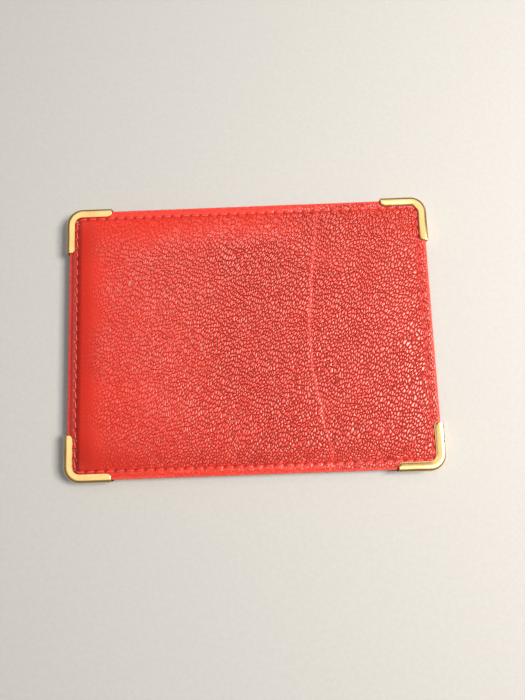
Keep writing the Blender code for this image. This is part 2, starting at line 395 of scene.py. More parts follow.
class NodeTable:
    """A short way to lay out one node tree."""

    def __init__(self, tree: bpy.types.NodeTree) -> None:
        """Starts on an empty tree."""
        self.tree = tree
        tree.nodes.clear()

    def add(self, kind: str, inputs: dict[str | int, object] | None = None, **settings: object) -> Node:
        """Adds a node.

        Args:
            kind: the node's type name.
            inputs: values or sockets for its inputs, by name or place.
            settings: the node's own settings.

        Returns:
            The new node.
        """
        node = self.tree.nodes.new(kind)
        node.location = (NODE_SPACING * len(self.tree.nodes), 0.0)
        for name, value in settings.items():
            setattr(node, name, value)
        for name, value in (inputs or {}).items():
            if isinstance(value, Socket):
                self.tree.links.new(value, node.inputs[name])
            else:
                node.inputs[name].default_value = value
        return node

    def group(self, tree: bpy.types.NodeTree, **values: object) -> Node:
        """Places a node group with its own values."""
        return self.add("ShaderNodeGroup", values, node_tree=tree)

    def place(self) -> Socket:
        """The surface's own coordinates, in metres."""
        return self.add("ShaderNodeTexCoord").outputs["Object"]

    def kept(self, label: str) -> Socket:
        """A value kept at the vertices."""
        return self.add("ShaderNodeAttribute", attribute_name=label, attribute_type="GEOMETRY").outputs["Fac"]

    def noise(self, place: Socket, scale: object, detail: float = 0.0, roughness: float = 0.5) -> Node:
        """Adds a noise texture, whose scale is in knots to a metre."""
        inputs = {"Vector": place, "Scale": scale, "Detail": detail, "Roughness": roughness}
        return self.add("ShaderNodeTexNoise", inputs)

    def sum_of(self, operation: str, *values: object) -> Socket:
        """Does a sum on numbers or sockets."""
        return self.add("ShaderNodeMath", dict(enumerate(values)), operation=operation).outputs[0]

    def vector(self, operation: str, *values: object) -> Socket:
        """Does a sum on vectors or sockets."""
        return self.add("ShaderNodeVectorMath", dict(enumerate(values)), operation=operation).outputs[0]

    def spread(self, value: object, low: float, high: float, to_low: float, to_high: float) -> Socket:
        """Maps a value from one range to another, held at both ends."""
        places = {"Value": value, "From Min": low, "From Max": high, "To Min": to_low, "To Max": to_high}
        return self.add("ShaderNodeMapRange", places, clamp=True).outputs["Result"]

    def blend(self, share: Socket, first: Socket | Colour, second: Socket | Colour) -> Socket:
        """Mixes two colours.

        Args:
            share: how much of the second shows.
            first: a colour or a socket.
            second: a colour or a socket.

        Returns:
            The mixed colour's socket.
        """
        pair = [(*value, 1.0) if isinstance(value, tuple) else value for value in (first, second)]
        inputs = {0: share, 6: pair[0], 7: pair[1]}
        return self.add("ShaderNodeMix", inputs, data_type="RGBA", clamp_factor=True).outputs[2]

    def surface(
        self,
        colour: Socket,
        rough: Socket | float,
        height: Socket | None = None,
        relief: float = 0.0,
        strength: float = 1.0,
        own: dict[str, float] | None = None,
    ) -> None:
        """Ends a material with its shader.

        Args:
            colour: the base colour.
            rough: the roughness.
            height: what the bump follows.
            relief: height of the bump, in mm.
            strength: how much of the bump shows.
            own: numbers set on the shader's own sockets.
        """
        inputs = {"Base Color": colour, "Roughness": rough}
        if height:
            bump = {"Strength": strength, "Distance": relief * MM, "Height": height}
            inputs["Normal"] = self.add("ShaderNodeBump", bump).outputs["Normal"]
        shader = self.add("ShaderNodeBsdfPrincipled", {**inputs, **(own or {})})
        self.add("ShaderNodeOutputMaterial", {"Surface": shader.outputs[0]})


@dataclass(frozen=True)
class HideGrain:
    """Pebbles drawn out along a flow that wanders, alike in a finish and on a mesh.

    Args:
        pitch: distance between pebbles across the flow, in mm.
        stretch: how short the pebbles look along the flow, from 0 to 1.
        flow: direction of the flow, in degrees from +X.
    """

    pitch: float
    stretch: float
    flow: float

    @staticmethod
    def lay(table: NodeTable, place: Socket, scale: object, stretch: object, flow: object) -> Socket:
        """Lays the nodes that measure how far each point is from a pebble's edge.

        Args:
            table: the tree to lay them on.
            place: the points, in metres.
            scale: pebbles in a metre across the flow.
            stretch: how short the pebbles look along the flow.
            flow: direction of the flow, in radians.

        Returns:
            The distance's socket, in pebbles.
        """
        height = table.add("ShaderNodeSeparateXYZ", {0: place}).outputs["Z"]
        sideways = table.add("ShaderNodeCombineXYZ", {0: height, 1: height}).outputs[0]
        pushed = table.vector("ADD", place, sideways)
        for knots, reach in GRAIN_SWAYS:
            sway = table.noise(place, knots).outputs["Color"]
            pushed = table.vector("MULTIPLY_ADD", sway, (reach, reach, 0.0), pushed)
        back = {"Vector": pushed, "Angle": table.sum_of("MULTIPLY", flow, -1.0)}
        turned = table.add("ShaderNodeVectorRotate", back, rotation_type="Z_AXIS").outputs[0]
        drawn = table.add("ShaderNodeCombineXYZ", {0: stretch, 1: 1.0}).outputs[0]
        shaped = {"Vector": table.vector("MULTIPLY", turned, drawn), "Scale": scale, "Randomness": 1.0}
        kind = {"feature": "DISTANCE_TO_EDGE", "voronoi_dimensions": "2D"}
        return table.add("ShaderNodeTexVoronoi", shaped, **kind).outputs["Distance"]

    def dome(self, x: Array, y: Array, z: Array | float = 0.0) -> Array:
        """The pebbles' shape at these points.

        Args:
            x: places along X, in mm.
            y: places along Y, in mm.
            z: heights, in mm.

        Returns:
            0 in the valleys and 1 on top of a pebble.
        """
        points = rows(x, y, np.broadcast_to(z, np.shape(x))) * MM
        mesh = bpy.data.meshes.new("grain_probe")
        mesh.from_pydata(points.tolist(), [], [])
        probe = placed("grain_probe", mesh)
        group = bpy.data.node_groups.new("grain_probe", "GeometryNodeTree")
        for side in ("INPUT", "OUTPUT"):
            group.interface.new_socket("Geometry", in_out=side, socket_type="NodeSocketGeometry")
        table = NodeTable(group)
        given = table.add("NodeGroupInput").outputs[0]
        place = table.add("GeometryNodeInputPosition").outputs[0]
        edge = self.lay(table, place, 1.0 / (self.pitch * MM), self.stretch, math.radians(self.flow))
        kept = {"Geometry": given, "Name": "pebble_edge", "Value": edge}
        store = table.add("GeometryNodeStoreNamedAttribute", kept, data_type="FLOAT", domain="POINT")
        table.add("NodeGroupOutput", {0: store.outputs[0]})
        probe.modifiers.new("grain", "NODES").node_group = group
        graph = bpy.context.evaluated_depsgraph_get()
        found = probe.evaluated_get(graph).data.attributes["pebble_edge"].data
        edges = np.zeros(len(points), np.float32)
        found.foreach_get("value", edges)
        bpy.data.objects.remove(probe)
        bpy.data.meshes.remove(mesh)
        bpy.data.node_groups.remove(group)
        short = 1.0 - np.clip(edges.reshape(np.shape(x)) / PEBBLE_SIDE, 0.0, 1.0)
        return 1.0 - short * short


class EffectShelf:
    """The node groups that more than one material uses, each built once."""

    def __init__(self) -> None:
        """Builds every group."""
        self.grain = self._hide_grain()
        self.tone = self._slow_tone()
        self.weave = self._plain_weave()
        self.wear_and_highlight_mask = self._edge_wear_and_highlight()

    @staticmethod
    def _new(
        name: str, inputs: dict[str, float], outputs: tuple[str, ...]
    ) -> tuple[bpy.types.NodeTree, NodeTable, dict[str, Socket]]:
        """Makes an empty group with number sockets.

        Args:
            name: the group's name.
            inputs: its inputs and their usual values.
            outputs: its outputs.

        Returns:
            The group, a table to lay its nodes on, and what it is given.
        """
        group = bpy.data.node_groups.new(name, "ShaderNodeTree")
        for label, usual in inputs.items():
            socket = group.interface.new_socket(label, in_out="INPUT", socket_type="NodeSocketFloat")
            socket.default_value = usual
        for label in outputs:
            group.interface.new_socket(label, in_out="OUTPUT", socket_type="NodeSocketFloat")
        table = NodeTable(group)
        given = table.add("NodeGroupInput").outputs
        return group, table, {label: given[label] for label in inputs}

    @classmethod
    def _hide_grain(cls) -> bpy.types.NodeTree:
        """Small drawn-out pebbles with pores between them.

        Returns:
            A group that gives a Height, a mask for the shade painted between the pebbles, and a mask for the
            highlight painted on their tops.
        """
        usual = {"Scale": 1100.0, "Stretch": 0.6, "Flow": 1.15, "Pores": 3500.0}
        group, table, given = cls._new("hide_grain", usual, ("Height", "ValleyShade", "CrownHighlight"))
        place = table.place()
        edge = HideGrain.lay(table, place, given["Scale"], given["Stretch"], given["Flow"])
        short = table.spread(edge, 0.0, PEBBLE_SIDE, 1.0, 0.0)
        dome = table.sum_of("SUBTRACT", 1.0, table.sum_of("MULTIPLY", short, short))
        pores = table.noise(place, given["Pores"], 3.0, 0.6).outputs["Fac"]
        height = table.sum_of("MULTIPLY_ADD", pores, 0.3, dome)
        # Painted shade: a mask of the dips between pebbles.
        valley_shade = table.spread(edge, 0.03, 0.22, 1.0, 0.0)
        # Painted highlight: a mask of the pebbles' tops.
        crown_highlight = table.spread(edge, 0.2, 0.42, 0.0, 1.0)
        table.add("NodeGroupOutput", {"Height": height, "ValleyShade": valley_shade, "CrownHighlight": crown_highlight})
        return group

    @classmethod
    def _slow_tone(cls) -> bpy.types.NodeTree:
        """Slow changes of dye and polish across a piece.

        Returns:
            A group that gives a Tone for colour and a Polish for roughness, both from 0 to 1.
        """
        group, table, given = cls._new("slow_tone", {"Patch": 60.0, "Mottle": 400.0}, ("Tone", "Polish"))
        place = table.place()
        patch = table.noise(place, given["Patch"], 2.0).outputs["Fac"]
        mottle = table.noise(place, given["Mottle"], 3.0).outputs["Fac"]
        tone = table.sum_of("MULTIPLY_ADD", mottle, 0.4, table.spread(patch, 0.3, 0.7, 0.0, 0.6))
        elsewhere = table.vector("ADD", place, (0.31, 0.17, 0.05))
        smear = table.noise(elsewhere, given["Patch"], 4.0).outputs["Fac"]
        polish = table.spread(smear, 0.3, 0.7, 0.0, 1.0)
        table.add("NodeGroupOutput", {"Tone": tone, "Polish": polish})
        return group

    @classmethod
    def _plain_weave(cls) -> bpy.types.NodeTree:
        """Threads that pass over and under each other.

        Returns:
            A group that gives a Height and a Shade, both from 0 to 1.
        """
        group, table, given = cls._new("plain_weave", {"Pitch": 0.0004, "Slub": 0.3}, ("Height", "Shade"))
        place = table.place()
        parts = table.add("ShaderNodeSeparateXYZ", {0: place})
        steps = table.sum_of("DIVIDE", math.pi, given["Pitch"])
        waves = []
        for axis in (0, 1):
            waves.append(table.sum_of("SINE", table.sum_of("MULTIPLY", parts.outputs[axis], steps)))
        over = table.sum_of("MULTIPLY", waves[0], waves[1])
        ribs = [table.sum_of("ABSOLUTE", wave) for wave in waves]
        warp = table.sum_of("MULTIPLY", table.spread(over, -0.2, 0.2, 0.0, 1.0), ribs[0])
        weft = table.sum_of("MULTIPLY", table.spread(over, -0.2, 0.2, 1.0, 0.0), ribs[1])
        slub = table.noise(place, 900.0, 2.0).outputs["Fac"]
        uneven = table.sum_of("MULTIPLY", slub, given["Slub"])
        height = table.sum_of("ADD", table.sum_of("ADD", warp, weft), uneven)
        table.add("NodeGroupOutput", {"Height": height, "Shade": table.spread(height, 0.1, 1.1, 0.0, 1.0)})
        return group

    @classmethod
    def _edge_wear_and_highlight(cls) -> bpy.types.NodeTree:
        """Scuffing along the edges that a maker's hand or a pocket rubs, and painted highlight along the
        face's turned edge, its growth line and the gilt corners' rims.

        Returns:
            A group that gives a Mask, from the value kept at the vertices as "edge".
        """
        group, table, given = cls._new("edge_wear_and_highlight", {"Amount": 0.6, "Breakup": 700.0}, ("Mask",))
        breakup = table.noise(table.place(), given["Breakup"], 3.0).outputs["Fac"]
        ragged = table.spread(breakup, 0.35, 0.65, 0.35, 1.0)
        strength = table.sum_of("MULTIPLY", ragged, given["Amount"])
        table.add("NodeGroupOutput", {"Mask": table.sum_of("MULTIPLY", table.kept("edge"), strength)})
        return group


@dataclass(frozen=True)
class Finish:
    """A material of the holder.

    Args:
        name: the material's name.
    """

    name: str

    def build(self, shelf: EffectShelf) -> bpy.types.Material:
        """Builds the material.

        Args:
            shelf: the node groups that it may use.

        Returns:
            The new material.
        """
        material = bpy.data.materials.new(self.name)
        material.use_nodes = True
        self.lay(NodeTable(material.node_tree), shelf)
        return material

    def lay(self, table: NodeTable, shelf: EffectShelf) -> None:
        """Lays the finish's own nodes.

        Args:
            table: the material's nodes.
            shelf: the node groups that it may use.
        """
        raise NotImplementedError(self.name)


@dataclass(frozen=True)
class LeatherFinish(Finish):
    """Dyed and pigmented hide with a semi-gloss top coat.

    Args:
        dye: colour of the pebbles.
        valley_shade: colour painted as shade between the pebbles and in the other shaded places.
        wear_and_highlight: colour that rubbed edges turn to, also laid on the pebbles' tops as a painted
            highlight and on the face's turned edge and growth line as painted highlight.
        roughness: roughness of the top coat.
        grain: the hide's grain.
        relief: height of the part of the grain that isn't in the mesh, in mm.
        needle: colour painted inside a needle hole as its shade.
    """

    dye: Colour
    valley_shade: Colour
    wear_and_highlight: Colour
    roughness: float
    grain: HideGrain
    relief: float
    needle: Colour = (0.22, 0.004, 0.002)

    def lay(self, table: NodeTable, shelf: EffectShelf) -> None:
        """Lays the finish's own nodes.

        Args:
            table: the material's nodes.
            shelf: the node groups that it uses.
        """
        scale, flow = 1.0 / (self.grain.pitch * MM), math.radians(self.grain.flow)
        grain = table.group(shelf.grain, Scale=scale, Stretch=self.grain.stretch, Flow=flow).outputs
        tone = table.group(shelf.tone, Patch=55.0, Mottle=330.0).outputs
        wear_and_highlight_mask = table.group(shelf.wear_and_highlight_mask, Amount=0.7, Breakup=800.0).outputs
        strength, hollow, hole = (table.kept(label) for label in ("grain", "hollow", "needle"))
        # Painted shade in the dips between pebbles, strongest where the grain is full.
        lines = table.sum_of("MULTIPLY", grain["ValleyShade"], table.sum_of("MULTIPLY", strength, 0.95))
        # Painted highlight: the pale colour laid on the pebbles' tops.
        painted_crown_highlight = table.sum_of("MULTIPLY", grain["CrownHighlight"], table.sum_of("MULTIPLY", strength, 0.35))
        deep = tuple(part * 0.9 for part in self.dye)
        colour = table.blend(tone["Tone"], self.dye, deep)
        # Over the dye go painted shade from the mesh and between the pebbles, painted highlight on the
        # pebbles' tops, the edge mask's colour (rubbed edges, and painted highlight on the face's turned edge
        # and growth line) and painted shade inside the needle holes.
        coats = ((hollow, self.valley_shade), (lines, self.valley_shade), (painted_crown_highlight, self.wear_and_highlight), (wear_and_highlight_mask["Mask"], self.wear_and_highlight))
        for share, coat in (*coats, (hole, self.needle)):
            colour = table.blend(share, colour, coat)
        rough = table.spread(tone["Polish"], 0.0, 1.0, self.roughness - 0.04, self.roughness + 0.05)
        for share, more in ((lines, 0.25), (hole, 0.4)):
            rough = table.sum_of("MULTIPLY_ADD", share, more, rough)
        depth = table.sum_of("MULTIPLY_ADD", strength, 0.95, 0.05)
        height = table.sum_of("MULTIPLY", grain["Height"], depth)
        table.surface(colour, rough, height, self.relief, own={"Specular IOR Level": 0.38})


@dataclass(frozen=True)
class ClothFinish(Finish):
    """Woven cloth or felt.

    Args:
        light: colour on top of the threads.
        dark: colour between them.
        pitch: distance between threads, in mm.
        relief: height of the weave, in mm.
        roughness: roughness of the fibres.
    """

    light: Colour
    dark: Colour
    pitch: float
    relief: float
    roughness: float = 0.85

    def lay(self, table: NodeTable, shelf: EffectShelf) -> None:
        """Lays the finish's own nodes.

        Args:
            table: the material's nodes.
            shelf: the node groups that it uses.
        """
        weave = table.group(shelf.weave, Pitch=self.pitch * MM, Slub=0.35).outputs
        tone = table.group(shelf.tone, Patch=80.0, Mottle=900.0).outputs
        colour = table.blend(weave["Shade"], self.dark, self.light)
        colour = table.blend(table.spread(tone["Tone"], 0.0, 1.0, 0.0, 0.35), colour, self.dark)
        rough = table.spread(tone["Polish"], 0.0, 1.0, self.roughness - 0.08, self.roughness)
        sheen = {"Sheen Weight": 0.25, "Sheen Roughness": 0.4}
        table.surface(colour, rough, weave["Height"], self.relief, 0.9, sheen)


@dataclass(frozen=True)
class ThreadFinish(Finish):
    """Waxed sewing thread.

    Args:
        light: colour of the fibres that catch the light.
        dark: colour painted between the plies as their shade.
    """

    light: Colour
    dark: Colour

    def lay(self, table: NodeTable, shelf: EffectShelf) -> None:
        """Lays the finish's own nodes.

        Args:
            table: the material's nodes.
            shelf: the node groups that it uses.
        """
        tone = table.group(shelf.tone, Patch=90.0, Mottle=3500.0).outputs
        # Painted shade between the plies, with a random tone.
        shade = table.sum_of("MULTIPLY_ADD", tone["Tone"], 0.3, table.kept("hollow"))
        colour = table.blend(shade, self.light, self.dark)
        fuzz = table.noise(table.place(), 6000.0, 2.0).outputs["Fac"]
        rough = table.spread(tone["Polish"], 0.0, 1.0, 0.45, 0.6)
        table.surface(colour, rough, fuzz, 0.03, 0.5, {"Sheen Weight": 0.08})


@dataclass(frozen=True)
class GiltFinish(Finish):
    """Polished gilt plate with fine rubbing marks.

    Args:
        gilt: colour of the plate.
        wear_and_highlight: colour where it is rubbed, which also stands as the painted highlight on the
            rolled rim.
        roughness: roughness of the polished plate.
    """

    gilt: Colour
    wear_and_highlight: Colour
    roughness: float

    def lay(self, table: NodeTable, shelf: EffectShelf) -> None:
        """Lays the finish's own nodes.

        Args:
            table: the material's nodes.
            shelf: the node groups that it uses.
        """
        tone = table.group(shelf.tone, Patch=160.0, Mottle=1400.0).outputs
        wear_and_highlight_mask = table.group(shelf.wear_and_highlight_mask, Amount=0.5, Breakup=1500.0).outputs
        deep = (self.gilt[0] * 0.88, self.gilt[1] * 0.8, self.gilt[2] * 0.7)
        colour = table.blend(tone["Tone"], self.gilt, deep)
        # The edge mask's paler colour: rubbed gilt, and painted highlight on the rolled rim.
        colour = table.blend(wear_and_highlight_mask["Mask"], colour, self.wear_and_highlight)
        rough = table.spread(tone["Polish"], 0.0, 1.0, self.roughness - 0.05, self.roughness + 0.1)
        marks = table.noise(table.place(), 1900.0, 2.0, 0.4).outputs["Fac"]
        table.surface(colour, rough, marks, 0.02, 0.35, {"Metallic": 1.0})


@dataclass(frozen=True)
class BoardFinish(Finish):
    """Bonded leather board with pressed fibres.

    Args:
        light: colour of the light fibres.
        dark: colour of the dark fibres.
    """

    light: Colour
    dark: Colour

    def lay(self, table: NodeTable, shelf: EffectShelf) -> None:
        """Lays the finish's own nodes.

        Args:
            table: the material's nodes.
            shelf: the node groups that it uses.
        """
        grain = table.group(shelf.grain, Scale=650.0, Stretch=0.3, Flow=0.4).outputs
        tone = table.group(shelf.tone, Patch=120.0, Mottle=1600.0).outputs
        colour = table.blend(tone["Tone"], self.light, self.dark)
        # Painted shade in the dips of the board's grain.
        colour = table.blend(table.sum_of("MULTIPLY", grain["ValleyShade"], 0.5), colour, self.dark)
        rough = table.spread(tone["Polish"], 0.0, 1.0, 0.75, 0.9)
        table.surface(colour, rough, grain["Height"], 0.04, 0.6)


def coat(piece: bpy.types.Object, material: bpy.types.Material) -> None:
    """Gives a piece its only material."""
    piece.data.materials.clear()
    piece.data.materials.append(material)


def dress(piece: bpy.types.Object, material: bpy.types.Material, slot: Slot, *nodes: str) -> None:
    """Gives a piece its material, its body and the CAD nodes that it stands for.

    Args:
        piece: the piece.
        material: its finish.
        slot: the record's slot for that finish; not used.
        nodes: CAD nodes that the piece replaces.
    """
    coat(piece, material)
    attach(piece, BODY)
    if nodes:
        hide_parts(*nodes)


@dataclass
class SeamRun:
    """One row of lockstitch round the leaf, from needle hole to needle hole.

    Args:
        plan: the leaf's outline.
        inset: how far the seam is from the outline, in mm.
        pitch: wanted stitch length, in mm.
        radius: radius of the thread, in mm.
        slant: how far each stitch leans across the seam, in mm.
        sides: points round the thread.
        stations: rings along each stitch.
        start: where a stitch starts after its needle hole, as a share of the pitch.
        cover: how much of the pitch it covers, as a share.
        sunk: how far its ends are sunk, in mm.
        twist: how far the plies turn along it, in radians.
        lobe: depth of the groove between the plies, as a share of the radius.
        hole_lean: how far the needle holes are turned from the seam, in degrees.
        hole_reach: how far from the seam a hole can be felt, in mm.
    """

    plan: LeafPlan
    inset: float
    pitch: float = 2.7
    radius: float = 0.17
    slant: float = 0.11
    sides: int = 10
    stations: int = 13
    start: float = 0.09
    cover: float = 0.82
    sunk: float = 0.42
    twist: float = 7.5
    lobe: float = 0.13
    hole_lean: float = 32.0
    hole_reach: float = 1.6

    def count(self) -> int:
        """How many stitches fit round the leaf."""
        return round(self.plan.length(self.inset) / self.pitch)

    def holes(self) -> tuple[Array, Array, Array, Array]:
        """The needle holes' places and the seam's direction at each."""
        along = np.arange(self.count()) * self.plan.length(self.inset) / self.count()
        return self.plan.walk(along, self.inset)

    def hole_mask(self, x: Array, y: Array, long: float, wide: float) -> Array:
        """How near each point is to a slanted needle hole.

        Args:
            x: places along X, in mm.
            y: places along Y, in mm.
            long: half length of a hole, in mm.
            wide: half width of a hole, in mm.

        Returns:
            1 in the middle of a hole, falling to 0 outside it.
        """
        flat_x, flat_y = np.ravel(x), np.ravel(y)
        near = np.abs(self.plan.inside(flat_x, flat_y) - self.inset) < self.hole_reach
        picked_x, picked_y = flat_x[near][:, None], flat_y[near][:, None]
        hx, hy, tx, ty = self.holes()
        lean = math.radians(self.hole_lean)
        ax = tx * math.cos(lean) - ty * math.sin(lean)
        ay = tx * math.sin(lean) + ty * math.cos(lean)
        dx, dy = picked_x - hx, picked_y - hy
        along, across = dx * ax + dy * ay, dy * ax - dx * ay
        mask = np.zeros_like(flat_x)
        mask[near] = np.exp(-((along / long) ** 2) - (across / wide) ** 2).max(axis=1)
        return mask.reshape(x.shape)

    def build(self, name: str, level: float, facing: Facing) -> bpy.types.Object:
        """Builds all the stitches of the row as one piece.

        Args:
            name: the piece's name.
            level: height of the middle of the thread half way along a stitch, in mm.
            facing: which way the stitches bulge.

        Returns:
            The new piece.
        """
        skin = Skin()
        step = self.plan.length(self.inset) / self.count()
        share = np.linspace(0.0, 1.0, self.stations)
        round_angle = np.linspace(0.0, 2 * math.pi, self.sides, endpoint=False)
        pull = np.random.default_rng(17).uniform(-1.0, 1.0, (self.count(), 3))
        from_middle = 2 * share - 1
        thin = 1.0 - 0.25 * np.abs(from_middle) ** 4
        sink = np.abs(from_middle) ** 3.5
        inner = self.start + self.cover * share
        for k in range(self.count()):
            x, y, tx, ty = self.plan.walk(k * step + inner * step, self.inset)
            lean = self.slant * from_middle + 0.03 * pull[k, 0]
            x, y = x - ty * lean, y + tx * lean
            depth = self.sunk + 0.05 * pull[k, 2]
            height = level + facing.value * (0.03 * pull[k, 1] + 0.05 - depth * sink)
            rings = []
            for s in range(self.stations):
                twist = self.twist * share[s] + k
                lobes = 1.0 + self.lobe * np.cos(2 * (round_angle - twist))
                reach = self.radius * thin[s] * lobes
                side, up = reach * np.cos(round_angle), reach * np.sin(round_angle) * 0.85
                ring = rows(x[s] - ty[s] * side, y[s] + tx[s] * side, height[s] + up)
                # Painted shade in the grooves between the thread's plies.
                rings.append(skin.add_points(ring, hollow=np.clip((1.05 - lobes) * 3.0, 0.0, 1.0)))
            for first, second in zip(rings, rings[1:]):
                skin.add_band(first, second)
            skin.faces.append(rings[0].tolist())
            skin.faces.append(rings[-1][::-1].tolist())
        return skin.to_piece(name)


@dataclass
class GrainedFace:
    """The face leather: raised field, shoulder, sewn margin, turned edge and its flap.

    Args:
        plan: the leaf's outline.
        seam: the seam that is sewn through it.
        grain: the hide's grain.
        step: distance between the grid's points on top, in mm.
        pebble_relief: height of the pebbles in the mesh, in mm.
        margin: width of the flat sewn margin, in mm.
        shoulder_left: width of the left shoulder, and so on for the other three, in mm.
        shoulder_curve: how quickly the shoulders rise, 1 for a plain slope and more for a rounder one.
        thickness: thickness of the leather, in mm.
        crown_height: how much of the field's height is left for its uneven top, in mm.
        growth_line: points that the growth line passes, from the top down, in mm.
        flap: how far the turned flap reaches in, in mm.
        edge_steps: rows of faces round the turned edge.
        crown_steps: rows of faces up the flesh side's shoulder.
    """

    plan: LeafPlan
    seam: SeamRun
    grain: HideGrain
    step: float = 0.3
    pebble_relief: float = 0.045
    margin: float = 3.2
    shoulder_left: float = 8.0
    shoulder_right: float = 9.0
    shoulder_top: float = 9.0
    shoulder_bottom: float = 7.0
    shoulder_curve: float = 2.3
    thickness: float = 0.6
    crown_height: float = 0.1
    growth_line: tuple[Point, ...] = ((20.3, 38.0), (16.8, 6.6), (16.4, -7.4), (18.6, -20.0), (21.7, -38.0))
    flap: float = 6.5
    edge_steps: int = 8
    crown_steps: int = 6
    flap_low: float = field(init=False)
    field_top: float = field(init=False)
    margin_top: float = field(init=False)
    edge_radius: float = field(init=False)

    def __post_init__(self) -> None:
        """Reads the layers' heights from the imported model."""
        low, high = box_mm("face_leather")
        self.flap_low, self.field_top = low.z, high.z
        self.margin_top = box_mm("face_padding")[0].z + self.thickness
        self.edge_radius = (self.margin_top - self.flap_low) / 2

    def lift(self, x: Array, y: Array) -> Array:
        """How far each point is up the shoulder.

        Args:
            x: places along X, in mm.
            y: places along Y, in mm.

        Returns:
            0 on the margin, rising to 1 on the field.
        """
        wide = self.plan.half_width - self.margin
        tall = self.plan.half_height - self.margin
        sides = ((x + wide, self.shoulder_left), (wide - x, self.shoulder_right))
        sides += ((y + tall, self.shoulder_bottom), (tall - y, self.shoulder_top))
        lift = np.ones_like(x)
        for away, width in sides:
            lift = lift * (1.0 - (1.0 - np.clip(away / width, 0.0, 1.0)) ** self.shoulder_curve)
        return lift

    def level(self, lift: Array) -> Array:
        """Height of the plain top for a share of the shoulder, in mm."""
        return self.margin_top + (self.field_top - self.crown_height - self.margin_top) * lift

    def ceiling(self, x: Array, y: Array) -> Array:
        """Height of the leather's flesh side above the padding, in mm."""
        return self.level(self.lift(x, y)) - self.thickness

    def line_distance(self, x: Array, y: Array) -> Array:
        """How far to the right of the growth line each point is.

        Args:
            x: places along X, in mm.
            y: places along Y, in mm.

        Returns:
            One distance for each point, in mm.
        """
        places = np.array(sorted(self.growth_line, key=lambda point: point[1]))
        middle = np.interp(y, places[:, 1], places[:, 0])
        for shift in (-3.0, 3.0):
            middle = middle + np.interp(y + shift, places[:, 1], places[:, 0])
        waver = 0.35 * SoftNoise(61, 5.0).along(y) + 0.12 * SoftNoise(62, 1.4).along(y)
        return x - middle / 3 - waver

    def grain_strength(self, x: Array, y: Array) -> Array:
        """How strongly the grain stands up.

        Args:
            x: places along X, in mm.
            y: places along Y, in mm.

        Returns:
            0 where the hide is smooth, and about 1 where the grain is fullest.
        """
        inside = self.plan.inside(x, y)
        patch = SoftNoise(71, 7.0).at(x, y)
        from_left = x + self.plan.half_width - self.margin - 6.0
        left = 0.1 + 0.9 * eased((from_left + 4.6 + 1.8 * patch) / 6.0)
        right = 0.55 + 0.45 * eased((x + 44.0) / 50.0)
        low_left = 1.0 - 0.5 * bell(x + 44.0, 12.0) * bell(y + 33.0, 7.0)
        high = 1.0 - 0.45 * eased((y - 24.0) / 8.0) * (1.0 - eased((x - 5.0) / 15.0))
        along_line = 1.0 - 0.45 * bell(self.line_distance(x, y), 0.5)
        flatter = 0.6 * eased((self.margin - inside) / 0.8)
        margin = 1.0 - flatter * (1.0 - 0.7 * eased((x - 10.0) / 20.0))
        along_seam = 1.0 - 0.6 * bell(inside - self.seam.inset, 0.45)
        return left * right * low_left * high * along_line * along_seam * margin * (1.0 + 0.12 * patch)

    def relief(self, x: Array, y: Array) -> tuple[Array, dict[str, Array]]:
        """The top surface.

        Args:
            x: places along X, in mm.
            y: places along Y, in mm.

        Returns:
            Its height in mm, and the values that the finish reads.
        """
        inside = self.plan.inside(x, y)
        lift = self.lift(x, y)
        z = self.level(lift)
        z = z + 0.06 * lift * SoftNoise(51, 17.0).at(x, y)
        z = z + 0.03 * SoftNoise(52, 6.0).at(x, y) * np.clip(inside - 1.5, 0, 1)
        off_seam = inside - self.seam.inset
        for offset, height, width in SEAM_FOLDS:
            z = z + height * bell(off_seam - offset, width)
        hole = self.seam.hole_mask(x, y, 0.42, 0.24)
        pull = self.seam.hole_mask(x, y, 0.9, 0.7)
        z = z - 0.3 * hole - 0.05 * pull
        line = self.line_distance(x, y)
        faint = 0.55 + 0.45 * SoftNoise(63, 11.0).along(y)
        for offset, depth, width in GROWTH_FOLDS:
            z = z - faint * depth * bell(line - offset, width)
        dome = self.grain.dome(x, y, z)
        strength = self.grain_strength(x, y)
        z = z + strength * (self.pebble_relief * (dome - 0.7) + 0.03 * SoftNoise(55, 1.6).at(x, y))
        from_margin = x + self.plan.half_width - self.margin
        # pressed is painted shade: darker over the left shoulder, which slopes away from the light, with a
        # painted shadow over the lower left.
        pressed = 1.0 - eased((from_margin - 1.4) / 6.0)
        pressed = pressed + 1.2 * bell(x + 41.0, 12.0) * bell(y + 33.0, 7.0)
        # The painted shade also darkens the dips between pebbles, the seam's groove and the left margin,
        # which lies in the raised field's shade.
        hollow = 0.35 * (1.0 - dome) * strength + 0.24 * pressed
        hollow = hollow + 0.5 * bell(off_seam, 0.28) + 0.45 * (1.0 - eased(from_margin / 1.2))
        kept = {"hollow": np.clip(hollow, 0.0, 1.0), "grain": np.clip(strength, 0.0, 1.0)}
        # The edge mask paints a thin highlight along the growth line's ridge.
        kept["edge"] = 0.25 * faint * bell(line, 0.28)
        # needle marks the needle holes, which get painted shade in the finish.
        return z, {**kept, "needle": np.clip(hole * 1.7 - 0.1, 0.0, 1.0)}

